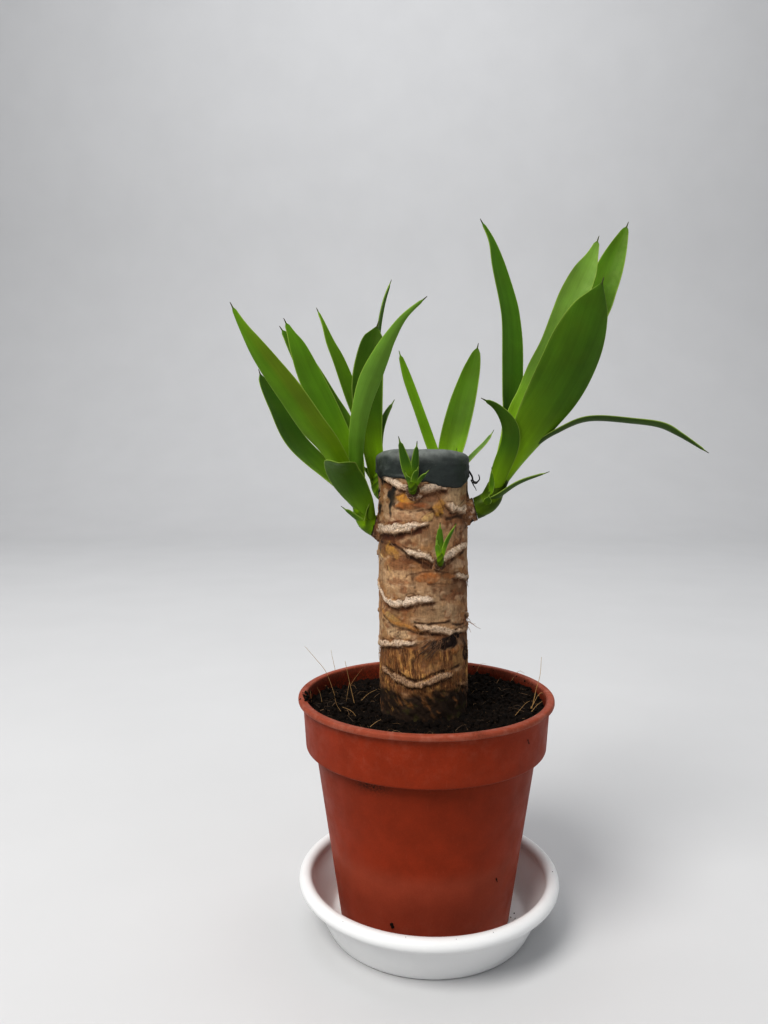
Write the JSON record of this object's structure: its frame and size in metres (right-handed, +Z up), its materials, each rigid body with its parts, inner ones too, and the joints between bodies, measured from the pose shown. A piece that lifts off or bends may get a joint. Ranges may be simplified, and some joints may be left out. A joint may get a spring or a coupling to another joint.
{
  "type": "potted yucca",
  "caption": "Small yucca of a cut woody cane with leafy side shoots and buds, wound wax on its top, in a tapering plastic pot with soil that stands in a round saucer.",
  "frame": {"origin": "centre of the saucer's underside, on the surface that it stands on", "axes": "+Z up along the pot's axis, -Y towards the plant's front, +X towards the tallest shoot"},
  "size_m": [0.2097, 0.1234, 0.3352],
  "materials": {
    "saucer_plastic": "satin",
    "pot_plastic": "satin",
    "soil": "matte",
    "bark": "matte",
    "wax": "satin",
    "leaf": "satin"
  },
  "bodies": {
    "root": {"saucer": "saucer_plastic", "pot": "pot_plastic", "soil": "soil", "cane": "bark", "wound_wax": "wax", "shoot_left": "leaf", "shoot_back_left": "leaf", "shoot_back": "leaf", "shoot_right": "leaf", "bud_upper": "leaf", "bud_lower": "leaf"}
  },
  "joints": []
}
